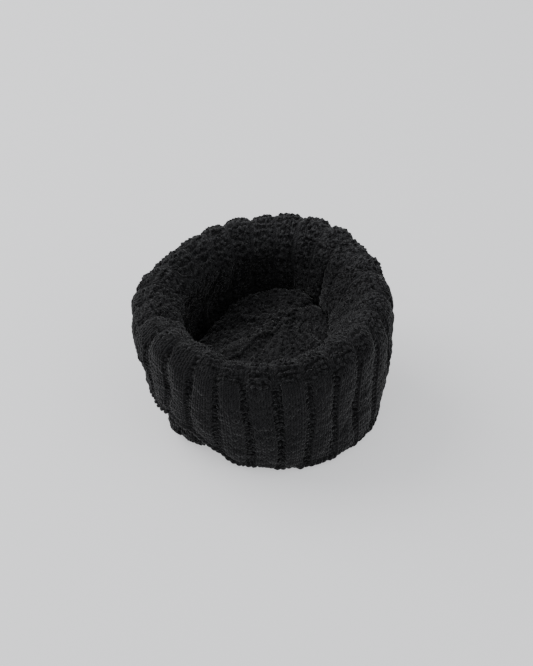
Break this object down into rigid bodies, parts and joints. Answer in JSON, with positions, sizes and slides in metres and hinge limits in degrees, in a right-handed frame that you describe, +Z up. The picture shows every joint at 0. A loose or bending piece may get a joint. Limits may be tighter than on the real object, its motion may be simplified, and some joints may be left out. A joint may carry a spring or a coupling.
{
  "type": "knit beanie",
  "caption": "Chunky rib-knit winter hat in charcoal yarn, lying crown down with its opening up and its edge turned up as a deep cuff.",
  "frame": {"origin": "middle of the hat on the surface it lies on, at the bottom of the foot", "axes": "+Z up through the head opening, -Y the side seen in front, +X to the right of it"},
  "size_m": [0.179, 0.179, 0.095],
  "materials": {
    "charcoal_knit": "matte chunky rib knit",
    "sewing_yarn": "matte twisted yarn"
  },
  "bodies": {
    "hat": {"body_wall": "charcoal_knit", "crown": "charcoal_knit", "crown_gather_yarn": "sewing_yarn", "crown_closing_knot": "sewing_yarn", "body_seam": "sewing_yarn", "crown_seam": "sewing_yarn"},
    "turned_up_cuff": {"fold_roll": "charcoal_knit", "cuff": "charcoal_knit", "cast_on_edge": "charcoal_knit", "cuff_seam": "sewing_yarn"}
  },
  "joints": [
    {"name": "cuff_turn_down", "type": "slide", "parent": "hat", "child": "turned_up_cuff", "axis": [0, 0, 1], "range_m": [0, 0.045], "deforming": ["cuff", "cast_on_edge", "cuff_seam"]}
  ]
}
